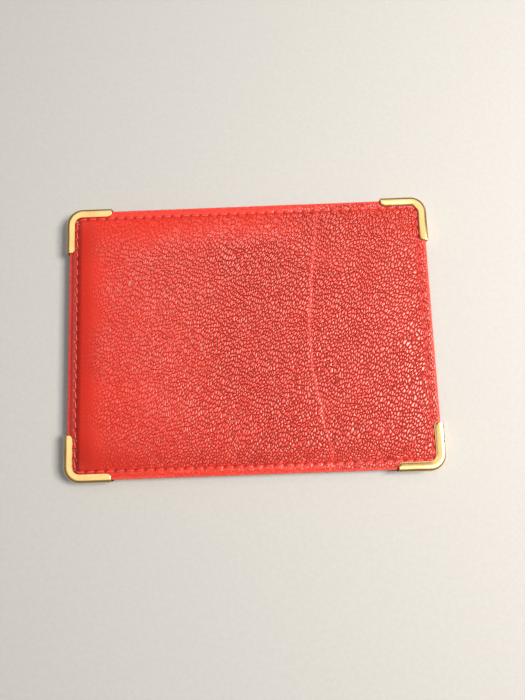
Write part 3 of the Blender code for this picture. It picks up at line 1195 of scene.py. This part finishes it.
    def build(self, name: str) -> bpy.types.Object:
        """Builds the leather as one closed skin.

        Args:
            name: the piece's name.

        Returns:
            The new piece.
        """
        skin = Skin()
        inset = self.edge_radius
        wide, tall = self.plan.half_width - inset, self.plan.half_height - inset
        columns = stops(-wide, wide, self.step)
        lines = stops(-tall, tall, self.step)
        if (len(columns) + len(lines)) % 2:
            columns = np.linspace(-wide, wide, len(columns) + 1)
        flat_x, flat_y = np.meshgrid(columns, lines, indexing="ij")
        x, y = self.plan.rounded(flat_x, flat_y, inset)
        z, kept = self.relief(x, y)
        index = skin.add_points(rows(x, y, z), **kept).reshape(x.shape)
        skin.add_grid(index)
        rim = rim_of(index)
        rim_x, rim_y = np.ravel(x)[rim], np.ravel(y)[rim]
        extra = np.ravel(z)[rim] - self.margin_top
        out_x, out_y = self.plan.outward(rim_x, rim_y, inset)
        middle = (self.margin_top + self.flap_low) / 2
        last = rim
        for k in range(1, self.edge_steps + 1):
            angle = math.pi * k / self.edge_steps
            reach = inset * math.sin(angle) ** EDGE_SQUARENESS
            drop = math.copysign(abs(math.cos(angle)) ** EDGE_SQUARENESS, math.cos(angle))
            fade = 1.0 - k / self.edge_steps
            ring_x, ring_y = rim_x + out_x * reach, rim_y + out_y * reach
            waver = 0.03 * SoftNoise(81, 3.0).at(ring_x, ring_y + 7.0 * k) * math.sin(angle)
            height = middle + inset * drop + extra * fade
            ring = rows(ring_x + out_x * waver, ring_y + out_y * waver, height)
            # Painted reflection: a lighter band round the upper part of the turned edge, laid on through the
            # edge mask.
            wear_and_highlight = np.full(len(ring_x), 0.8 * bell(np.array(angle - 0.9), 0.5))
            made = skin.add_points(ring, edge=wear_and_highlight, grain=np.full(len(ring_x), 0.35))
            skin.add_band(last, made)
            last = made
        self._close_inside(skin, last, inset)
        return skin.to_piece(name)

    def _close_inside(self, skin: Skin, rim: Array, inset: float) -> None:
        """Adds the flap, the flesh side and the ceiling over the padding.

        Args:
            skin: what is being built.
            rim: the loop where the flap starts.
            inset: that loop's inset, in mm.
        """
        half_wide, half_tall = self.plan.half_width, self.plan.half_height
        edge_low, edge_high = self.flap_low + self.thickness, self.margin_top - self.thickness
        spots = [(self.flap, self.flap_low), (self.flap, edge_low), (inset + 0.05, edge_low)]
        spots += [(self.thickness + 0.05, (edge_low + edge_high) / 2)]
        spots += [(inset + 0.05, edge_high), (self.margin, edge_high)]
        plan = np.concatenate(skin.points)[rim, :2] / (half_wide - inset, half_tall - inset)
        for k, (depth, height) in enumerate(spots):
            join = skin.add_halving if k < 2 else skin.add_band
            plan = plan[::2] if k < 2 else plan
            x, y = plan[:, 0] * (half_wide - depth), plan[:, 1] * (half_tall - depth)
            made = skin.add_points(rows(x, y, np.full(len(x), height)))
            join(rim, made)
            rim = made
        wide, tall = half_wide - self.margin, half_tall - self.margin
        centre_x = (self.shoulder_left - self.shoulder_right) / 2
        centre_y = (self.shoulder_bottom - self.shoulder_top) / 2
        top_x = wide - (self.shoulder_left + self.shoulder_right) / 2
        top_y = tall - (self.shoulder_bottom + self.shoulder_top) / 2
        for share in np.linspace(0.0, 1.0, self.crown_steps + 1)[1:]:
            x = plan[:, 0] * (wide + (top_x - wide) * share) + centre_x * share
            y = plan[:, 1] * (tall + (top_y - tall) * share) + centre_y * share
            made = skin.add_points(rows(x, y, self.ceiling(x, y)))
            skin.add_band(rim, made)
            rim = made
        skin.faces.append(rim.tolist())


@dataclass
class GiltCorner:
    """A folded gilt corner: a channel swept round the leaf's corner, with rounded inner tips.

    Args:
        node: the CAD node that it replaces.
        x_side: 1 at the right, -1 at the left.
        y_side: 1 at the top, -1 at the bottom.
        crimp: how far the flanges' inner strip was pressed down by hand, in mm.
        leg: length of each leg, in mm.
        outer_radius: radius of the outline's corner, in mm.
        band: how far the flanges reach in, in mm.
        tip: how much of a leg's end is rounded, in mm.
        arc_steps: sections round the corner.
        leg_steps: sections along the plain part of a leg.
    """

    node: str
    x_side: int
    y_side: int
    crimp: float
    leg: float = 13.0
    outer_radius: float = 4.6
    band: float = 2.6
    tip: float = 1.3
    arc_steps: int = 14
    leg_steps: int = 16

    def profile(self, reach: float, shrink: float, height: float) -> tuple[Array, Array]:
        """The channel's cross-section, from the inner edge of one flange to that of the other.

        Args:
            reach: how far the flanges reach in, in mm.
            shrink: how far the section is drawn in on all sides, in mm.
            height: height of the whole channel, in mm.

        Returns:
            The outside and the inside as rows of distance inwards and height.
        """
        half = height / 2
        knee = min(1.5, reach - 0.6)
        outside = [(reach, 0.47), (reach - 0.03, max(self.crimp + 0.05, 0.3)), (reach - 0.13, self.crimp)]
        outside += [(knee + 0.16, 0.06), (knee, 0.006), (0.8, 0.0), (0.7, 0.02), (0.62, 0.03)]
        outside += [(0.4, 0.09), (0.22, 0.22), (0.1, 0.4), (0.03, 0.68), (0.0, 1.1)]
        inside = [(reach, 0.5), (reach - 0.04, 0.5), (reach - 0.14, 0.49)]
        inside += [(knee + 0.16, 0.42), (knee, 0.4), (1.1, 0.4), (1.0, 0.4), (0.9, 0.42)]
        inside += [(0.78, 0.46), (0.65, 0.56), (0.53, 0.7), (0.44, 0.9), (0.4, 1.2)]
        mirror = np.array([1.0, -1.0])
        outside, inside = (np.array(spots) * mirror + (0.0, half) for spots in (outside, inside))
        middle = (outside + inside) / 2
        apart = np.maximum(np.linalg.norm(outside - inside, axis=1, keepdims=True), 1e-6)
        pull = np.minimum(shrink / (apart / 2), 0.9)
        outside, inside = outside + (middle - outside) * pull, inside + (middle - inside) * pull
        upper, lower = (outside, inside), (outside * mirror, inside * mirror)
        return tuple(np.concatenate([top, bottom[::-1]]) for top, bottom in zip(upper, lower))

    def _reach(self, distance: float) -> float:
        """How far the flanges reach in at a distance from a leg's end, in mm."""
        away = np.clip(1.0 - distance / self.tip, 0.0, 1.0)
        return self.band - 0.75 * self.tip * (1.0 - math.sqrt(1.0 - away * away))

    def stations(self) -> list[tuple[float, float, float, float, float, float]]:
        """Where the section is placed, from the end of one leg to that of the other.

        Returns:
            For each place its outer point, its inward direction, its reach and its shrink.
        """
        _, corner = box_mm("metal_corner_top_right")
        cx, cy = corner.x - self.outer_radius, corner.y - self.outer_radius
        straight = self.leg - self.outer_radius
        gone = [(0.0, 0.12), (0.03, 0.06), (0.09, 0.02), (0.16, 0.0)]
        gone += [(float(d), 0.0) for d in np.linspace(0.3, self.tip + 0.3, 7)]
        gone += [(float(d), 0.0) for d in np.linspace(self.tip + 1.0, straight, self.leg_steps)]
        leg = [(distance, self._reach(distance), shrink) for distance, shrink in gone]
        made = []
        for distance, reach, shrink in leg:
            made.append((corner.x, cy - straight + distance, -1.0, 0.0, reach, shrink))
        for k in range(1, self.arc_steps):
            angle = math.pi / 2 * k / self.arc_steps
            c, s = math.cos(angle), math.sin(angle)
            made.append((cx + self.outer_radius * c, cy + self.outer_radius * s, -c, -s, self.band, 0.0))
        for distance, reach, shrink in reversed(leg):
            made.append((cx - straight + distance, corner.y, 0.0, -1.0, reach, shrink))
        return made

    def build(self) -> bpy.types.Object:
        """Builds the corner as one closed shell.

        Returns:
            The new piece.
        """
        low, high = box_mm(self.node)
        middle = (low.z + high.z) / 2
        height = high.z - low.z
        skin = Skin()
        loops = []
        dent = SoftNoise(90 + 3 * self.x_side + self.y_side, 3.0)
        for x, y, in_x, in_y, reach, shrink in self.stations():
            outside, inside = self.profile(reach, shrink, height)
            loop = np.concatenate([outside, inside[::-1]])
            px, py = x + in_x * loop[:, 0], y + in_y * loop[:, 0]
            z = loop[:, 1] + 0.02 * dent.at(px, py) * (np.arange(len(loop)) < len(outside))
            # Paler rolled rim: rubbed gilt, and a painted highlight where the rim catches the light.
            rubbed = np.zeros(len(loop))
            rubbed[: len(outside)] = bell(outside[:, 0] - 0.35, 0.3)
            ring = rows(px * self.x_side, py * self.y_side, middle + z)
            loops.append(skin.add_points(ring, edge=rubbed))
        turned = self.x_side * self.y_side < 0
        for first, second in zip(loops, loops[1:]):
            pair = (second, first) if turned else (first, second)
            skin.add_band(*pair)
        size = len(outside)
        for loop, flip in ((loops[0], turned), (loops[-1], not turned)):
            out, back = loop[:size], loop[size:][::-1]
            skin.add_grid(np.stack([out, back]), flip)
        piece = skin.to_piece(self.node + "_plate")
        piece.data.set_sharp_from_angle(angle=math.radians(SHARP_ANGLE))
        return piece


@dataclass
class ReversePanel:
    """The reverse leather with its pressed-up border, its window and its thumb notch.

    Args:
        plan: the leaf's outline.
        seam: the seam that is sewn through it.
        grain: the thin hide's grain.
        step: distance between the grid's points, in mm.
        inset: how far the panel's edge is from the outline, in mm.
        thickness: thickness of the leather, in mm.
        border: width of the pressed-up border, in mm.
        slope: width of the slope inside it, in mm.
        window_half: half of the window's width, in mm.
        window_top: where the window's top edge is, in mm.
        mouth: where its lower edge is, the outer slot's mouth, in mm.
        window_radius: radius of its corners, in mm.
        notch_radius: radius of the thumb notch, in mm.
        notch_depth: how far the notch reaches below the mouth, in mm.
        crease_inset: how far the crease is from the window, in mm.
    """

    plan: LeafPlan
    seam: SeamRun
    grain: HideGrain
    step: float = 0.42
    inset: float = 0.6
    thickness: float = 0.5
    border: float = 3.2
    slope: float = 1.0
    window_half: float = 44.5
    window_top: float = 32.4
    mouth: float = 4.0
    window_radius: float = 2.0
    notch_radius: float = 9.0
    notch_depth: float = 5.0
    crease_inset: float = 1.7

    def window_distance(self, x: Array, y: Array) -> Array:
        """How far outside the window each point is.

        Args:
            x: places along X, in mm.
            y: places along Y, in mm.

        Returns:
            One distance for each point in mm, less than 0 inside the window.
        """
        cy, half = (self.window_top + self.mouth) / 2, (self.window_top - self.mouth) / 2
        qx = np.abs(x) - (self.window_half - self.window_radius)
        qy = np.abs(y - cy) - (half - self.window_radius)
        outer = np.hypot(np.maximum(qx, 0.0), np.maximum(qy, 0.0))
        plain = outer + np.minimum(np.maximum(qx, qy), 0.0) - self.window_radius
        notch = np.hypot(x, y - (self.mouth - self.notch_depth + self.notch_radius)) - self.notch_radius
        return np.minimum(plain, notch)

    def relief(self, x: Array, y: Array) -> tuple[Array, dict[str, Array]]:
        """The side that looks down.

        Args:
            x: places along X, in mm.
            y: places along Y, in mm.

        Returns:
            Its height in mm, and the values that the finish reads.
        """
        z = self.flat_height(x, y)
        off_seam = self.plan.inside(x, y) - self.seam.inset
        hole = self.seam.hole_mask(x, y, 0.5, 0.27)
        z = z + 0.1 * bell(off_seam, 0.42) + 0.2 * hole
        away = self.window_distance(x, y)
        z = z + 0.07 * bell(away - self.crease_inset, 0.25)
        dome = self.grain.dome(x, y, z)
        strength = 0.75 * eased((away - 0.3) / 1.2) * (1.0 + 0.3 * SoftNoise(42, 9.0).at(x, y))
        z = z + 0.07 * strength * (1.0 - dome) + 0.012
        edge = bell(away, 0.35)
        # Painted shade in the dips between pebbles and along the crease's groove; the needle holes also get
        # painted shade.
        hollow = 0.3 * (1.0 - dome) * strength + 0.5 * bell(away - self.crease_inset, 0.22)
        kept = {"hollow": np.clip(hollow, 0.0, 1.0), "grain": np.clip(strength, 0.0, 1.0), "edge": edge}
        return z, {**kept, "needle": np.clip(hole * 1.3 - 0.1, 0.0, 1.0)}

    def build(self, name: str) -> bpy.types.Object:
        """Builds the panel as one closed skin.

        Args:
            name: the piece's name.

        Returns:
            The new piece.
        """
        wide, tall = self.plan.half_width - self.inset, self.plan.half_height - self.inset
        cuts_x = [-wide, -self.window_half, self.window_half, wide]
        cuts_y = [-tall, self.mouth, self.window_top, tall]
        places = (self._stops_between(cuts) for cuts in (cuts_x, cuts_y))
        flat_x, flat_y = np.meshgrid(*places, indexing="ij")
        x, y = self.plan.rounded(flat_x, flat_y, self.inset)
        x, y = self._snapped(x, y)
        z, kept = self.relief(x, y)
        middles = ((flat[:-1, :-1] + flat[1:, 1:]) / 2 for flat in (x, y))
        solid = self.window_distance(*middles) > 0.0
        shape = x.shape
        used = np.zeros(shape, bool)
        for a in (0, 1):
            for b in (0, 1):
                used[a : shape[0] - 1 + a, b : shape[1] - 1 + b] |= solid
        count = int(used.sum())
        number = np.full(shape, -1)
        number[used] = np.arange(count)
        skin = Skin()
        skin.add_points(rows(x[used], y[used], z[used]), **{k: v[used] for k, v in kept.items()})
        inner = self.flat_height(x[used], y[used]) + self.thickness
        skin.add_points(rows(x[used], y[used], inner), edge=kept["edge"][used])
        corners = [number[:-1, :-1], number[:-1, 1:], number[1:, 1:], number[1:, :-1]]
        low = np.stack(corners, axis=-1)[solid]
        skin.faces += low.tolist() + (low[:, ::-1] + count).tolist()
        skin.faces += self._walls(low, count)
        return skin.to_piece(name)

    def _stops_between(self, cuts: list[float]) -> Array:
        """Places about a step apart, with every cut among them."""
        return np.unique(np.concatenate([stops(a, b, self.step) for a, b in zip(cuts, cuts[1:])]))

    def flat_height(self, x: Array, y: Array) -> Array:
        """The height of the side that looks down, without its grain and seam.

        Args:
            x: places along X, in mm.
            y: places along Y, in mm.

        Returns:
            One height for each point, in mm.
        """
        inside = self.plan.inside(x, y)
        border_low = box_mm("reverse_panel")[1].z - self.thickness
        return border_low * eased((self.border + self.slope - inside) / self.slope)

    def _snapped(self, x: Array, y: Array) -> tuple[Array, Array]:
        """Moves the points nearest the window onto its outline.

        Args:
            x: places along X, in mm.
            y: places along Y, in mm.

        Returns:
            The moved places.
        """
        d = 0.01
        for _ in range(2):
            away = self.window_distance(x, y)
            gx = (self.window_distance(x + d, y) - self.window_distance(x - d, y)) / (2 * d)
            gy = (self.window_distance(x, y + d) - self.window_distance(x, y - d)) / (2 * d)
            near = np.abs(away) < self.step * 0.55
            x, y = np.where(near, x - gx * away, x), np.where(near, y - gy * away, y)
        return x, y

    @staticmethod
    def _walls(quads: Array, offset: int) -> list[list[int]]:
        """The faces that join both sides along every open edge.

        Args:
            quads: the faces of the first side.
            offset: what is added to an index to reach the other side.

        Returns:
            The joining faces.
        """
        ends = np.concatenate([quads[:, [k, (k + 1) % 4]] for k in range(4)])
        seen = {(a, b) for a, b in ends.tolist()}
        return [[b, a, a + offset, b + offset] for a, b in sorted(seen) if (b, a) not in seen]


@dataclass
class LooseSheet:
    """A flat sheet that lies between others, such as the lining or the slot's strip.

    Args:
        node: the CAD node that it replaces.
        step: distance between its points, in mm.
        wave: height of its slow waves, in mm.
        grain: the grain of a leather strip, whose top edge is then a creased slot mouth.
        cover: the leather that lies on the sheet, which then tapers under it.
    """

    node: str
    step: float
    wave: float
    grain: HideGrain | None = None
    cover: GrainedFace | None = None

    def build(self, name: str) -> bpy.types.Object:
        """Builds the sheet as one closed skin.

        Args:
            name: the piece's name.

        Returns:
            The new piece.
        """
        low, high = box_mm(self.node)
        columns, lines = stops(low.x, high.x, self.step), stops(low.y, high.y, self.step)
        x, y = np.meshgrid(columns, lines, indexing="ij")
        plan = LeafPlan((high.x - low.x) / 2, (high.y - low.y) / 2, 1.2)
        cx, cy = (high.x + low.x) / 2, (high.y + low.y) / 2
        bent_x, bent_y = plan.rounded(x - cx, y - cy, 0.0)
        x, y = bent_x + cx, bent_y + cy
        inside = plan.inside(x - cx, y - cy)
        wave = self.wave * SoftNoise(len(self.node), 8.0).at(x, y) * eased(inside / 3.0)
        edge = bell(inside, 0.4)
        under = low.z + 0.04 * edge + np.maximum(wave, -0.04)
        over = high.z - 0.04 * edge + np.minimum(wave, 0.04)
        if self.cover:
            over = np.minimum(over, self.cover.ceiling(x, y) - 0.12)
        kept = {"edge": edge, "hollow": np.zeros(x.shape)}
        if self.grain:
            dome = self.grain.dome(x, y, low.z)
            crease = bell(high.y - y - 1.6, 0.25)
            kept["grain"] = 0.7 * eased((inside - 0.4) / 0.8)
            under = under + 0.05 * crease + 0.04 * (1.0 - dome) * kept["grain"]
            # Painted shade along the crease's groove and in the dips between pebbles.
            kept["hollow"] = np.clip(0.5 * crease + 0.3 * (1.0 - dome), 0.0, 1.0)
        skin = Skin()
        below, above = (skin.add_points(rows(x, y, z), **kept).reshape(x.shape) for z in (under, over))
        skin.add_grid(below, flip=True)
        skin.add_grid(above)
        skin.add_band(rim_of(above), rim_of(below))
        return skin.to_piece(name)


@dataclass(frozen=True)
class SoftLamp:
    """A square lamp.

    Args:
        name: the lamp's name.
        place: where it is, in mm.
        aim: what it looks at, in mm.
        size: side of its square, in mm.
        power: its power, in watts.
        tint: its colour.
    """

    name: str
    place: Place
    aim: Place
    size: float
    power: float
    tint: Colour

    def build(self) -> None:
        """Makes the lamp."""
        data = bpy.data.lights.new(self.name, "AREA")
        data.size = self.size * MM
        data.energy = self.power
        data.color = self.tint
        lamp = placed(self.name, data)
        lamp.location = Vector(self.place) * MM
        lamp.rotation_euler = (Vector(self.aim) - Vector(self.place)).to_track_quat("-Z", "Y").to_euler()


@dataclass
class StudioSetting:
    """The floor, the lights and the camera.

    Args:
        sight: where the camera is, in mm.
        tilt: how the camera is turned from looking straight down, in degrees about X, Y and Z.
        lens: focal length on a 36 mm long side, in mm.
        lamps: the lamps.
        floor_reach: how far the floor goes to each side, in metres.
        floor_level: height of the floor, in metres.
    """

    sight: Place = (4.16, -23.94, 148.57)
    tilt: Place = (7.79, 0.63, -2.06)
    lens: float = 27.05
    lamps: tuple[SoftLamp, ...] = (
        SoftLamp("window_light", (300.0, 5.0, 410.0), (20.0, -12.0, 0.0), 170.0, 4.8, (1.0, 0.93, 0.84)),
        SoftLamp("overhead_panel", (10.0, 120.0, 520.0), (10.0, 80.0, 0.0), 550.0, 1.2, (1.0, 0.97, 0.92)),
    )
    floor_reach: float = 3.0
    floor_level: float = -0.0002

    def build(self) -> None:
        """Makes everything that isn't part of the holder."""
        scene = bpy.context.scene
        scene.view_settings.view_transform = "Standard"
        self._camera(scene)
        self._floor()
        for lamp in self.lamps:
            lamp.build()
        world = bpy.data.worlds.new("soft_room")
        world.use_nodes = True
        table = NodeTable(world.node_tree)
        sky = table.add("ShaderNodeBackground", {"Color": (0.95, 0.96, 1.0, 1.0), "Strength": 0.22})
        table.add("ShaderNodeOutputWorld", {"Surface": sky.outputs[0]})
        scene.world = world

    def _camera(self, scene: bpy.types.Scene) -> None:
        """Makes the camera.

        Args:
            scene: the scene that looks through it.
        """
        data = bpy.data.cameras.new("view_from_above")
        data.lens = self.lens
        data.sensor_width = 36.0
        data.clip_start = 0.005
        camera = placed("view_from_above", data)
        camera.location = Vector(self.sight) * MM
        camera.rotation_euler = [math.radians(angle) for angle in self.tilt]
        scene.camera = camera

    def _floor(self) -> None:
        """Makes a plain pale floor with a faint tooth."""
        mesh = bpy.data.meshes.new("pale_floor")
        sides = ((-1, -1), (1, -1), (1, 1), (-1, 1))
        corners = [(x * self.floor_reach, y * self.floor_reach, self.floor_level) for x, y in sides]
        mesh.from_pydata(corners, [], [(0, 1, 2, 3)])
        material = bpy.data.materials.new("pale_paper")
        material.use_nodes = True
        table = NodeTable(material.node_tree)
        tooth = table.noise(table.place(), 900.0, 3.0).outputs["Fac"]
        table.surface(table.blend(tooth, (0.36, 0.36, 0.355), (0.41, 0.41, 0.405)), 0.9)
        mesh.materials.append(material)
        placed("pale_floor", mesh)


@dataclass
class CardHolder:
    """The whole card holder, built sub-assembly by sub-assembly.

    Args:
        shelf: the node groups that the finishes share.
        plan: the leaf's outline.
        seam: the seam round the leaf.
        face_grain: grain of the face leather.
        thin_grain: grain of the reverse leather.
    """

    shelf: EffectShelf
    plan: LeafPlan
    seam: SeamRun
    face_grain: HideGrain = HideGrain(0.64, 0.5, 62.0)
    thin_grain: HideGrain = HideGrain(0.66, 0.8, 80.0)
    face: GrainedFace = field(init=False)
    hide: bpy.types.Material = field(init=False)
    thin_hide: bpy.types.Material = field(init=False)
    cloth: bpy.types.Material = field(init=False)
    thread: bpy.types.Material = field(init=False)

    def __post_init__(self) -> None:
        """Builds the face's plan and the finishes that more than one sub-assembly wears."""
        # wine is the painted shade colour; the face hide's pale third colour is painted highlight and painted
        # reflection.
        red, wine = (0.6, 0.027, 0.013), (0.12, 0.003, 0.0015)
        self.face = GrainedFace(self.plan, self.seam, self.face_grain)
        hide = LeatherFinish("grained_red_hide", red, wine, (0.85, 0.2, 0.16), 0.27, self.face_grain, 0.13)
        thin_hide = LeatherFinish("thin_red_hide", red, wine, (0.5, 0.05, 0.04), 0.34, self.thin_grain, 0.05)
        cloth = ClothFinish("wine_lining", (0.32, 0.022, 0.022), (0.14, 0.008, 0.008), 0.42, 0.07)
        thread = ThreadFinish("red_thread", (0.74, 0.05, 0.035), (0.45, 0.014, 0.008))
        self.hide, self.thin_hide = hide.build(self.shelf), thin_hide.build(self.shelf)
        self.cloth, self.thread = cloth.build(self.shelf), thread.build(self.shelf)

    def build_face(self) -> None:
        """The grained face and its row of stitches."""
        leather = self.face.build("grained_face")
        dress(leather, self.hide, Slot.LEATHER, "face_leather")
        low, _ = box_mm("face_seam_thread")
        stitches = self.seam.build("face_stitches", low.z - FACE_THREAD_DROP, Facing.UP)
        dress(stitches, self.thread, Slot.THREAD, "face_seam_thread")
        LOG.info("face: %s, %s", leather.name, stitches.name)

    def build_inside(self) -> None:
        """The board, the padding and the lining."""
        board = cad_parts["stiffener_board"]
        finish = BoardFinish("pressed_board", (0.36, 0.26, 0.17), (0.2, 0.13, 0.08))
        coat(board, finish.build(self.shelf))
        felt = ClothFinish("pale_felt", (0.74, 0.72, 0.66), (0.55, 0.52, 0.46), 0.8, 0.1, 0.95)
        padding = LooseSheet("face_padding", 1.0, 0.04, cover=self.face).build("felt_padding")
        dress(padding, felt.build(self.shelf), Slot.FOAM, "face_padding")
        lining = LooseSheet("back_lining", 0.8, 0.05).build("wine_back_lining")
        dress(lining, self.cloth, Slot.LINING, "back_lining")
        LOG.info("inside: %s, %s, %s", board.name, padding.name, lining.name)

    def build_reverse(self) -> None:
        """The slots, the reverse panel and its row of stitches."""
        strip = LooseSheet("slot_mouth_strip", 0.4, 0.03, self.thin_grain).build("slot_mouth_leather")
        dress(strip, self.thin_hide, Slot.LEATHER, "slot_mouth_strip")
        cloth = LooseSheet("slot_cloth", 0.8, 0.03).build("slot_pocket_cloth")
        dress(cloth, self.cloth, Slot.LINING, "slot_cloth")
        low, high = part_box("slot_cloth")
        panel = ReversePanel(self.plan, self.seam, self.thin_grain).build("reverse_leather")
        dress(panel, self.thin_hide, Slot.LEATHER, "reverse_panel")
        _, high = box_mm("reverse_seam_thread")
        stitches = self.seam.build("reverse_stitches", high.z + REVERSE_THREAD_RISE, Facing.DOWN)
        dress(stitches, self.thread, Slot.THREAD, "reverse_seam_thread")
        LOG.info("reverse: %s, %s, %s, %s", strip.name, cloth.name, panel.name, stitches.name)

    def build_corners(self) -> None:
        """The four gilt corners."""
        finish = GiltFinish("polished_gilt", (0.86, 0.6, 0.26), (0.95, 0.76, 0.46), 0.17)
        gilt = finish.build(self.shelf)
        crimps = {"top_left": 0.06, "top_right": 0.2, "bottom_left": 0.06, "bottom_right": 0.42}
        for y_name, y_side in (("top", 1), ("bottom", -1)):
            for x_name, x_side in (("left", -1), ("right", 1)):
                node = f"metal_corner_{y_name}_{x_name}"
                plate = GiltCorner(node, x_side, y_side, crimps[f"{y_name}_{x_name}"]).build()
                dress(plate, gilt, Slot.GILT, node)
                LOG.info("corner: %s", plate.name)


def main() -> None:
    """Builds the sub-assemblies in order."""
    logging.basicConfig(level=logging.INFO, format="%(name)s: %(message)s")
    _, high = box_mm("face_leather")
    plan = LeafPlan(high.x, high.y)
    _, seam_high = box_mm("face_seam_thread")
    inset = high.x - (seam_high.x - THREAD_HALF)
    holder = CardHolder(EffectShelf(), plan, SeamRun(plan, inset))
    holder.build_face()
    holder.build_inside()
    holder.build_reverse()
    holder.build_corners()
    StudioSetting().build()


if __name__ == "__main__":
    main()
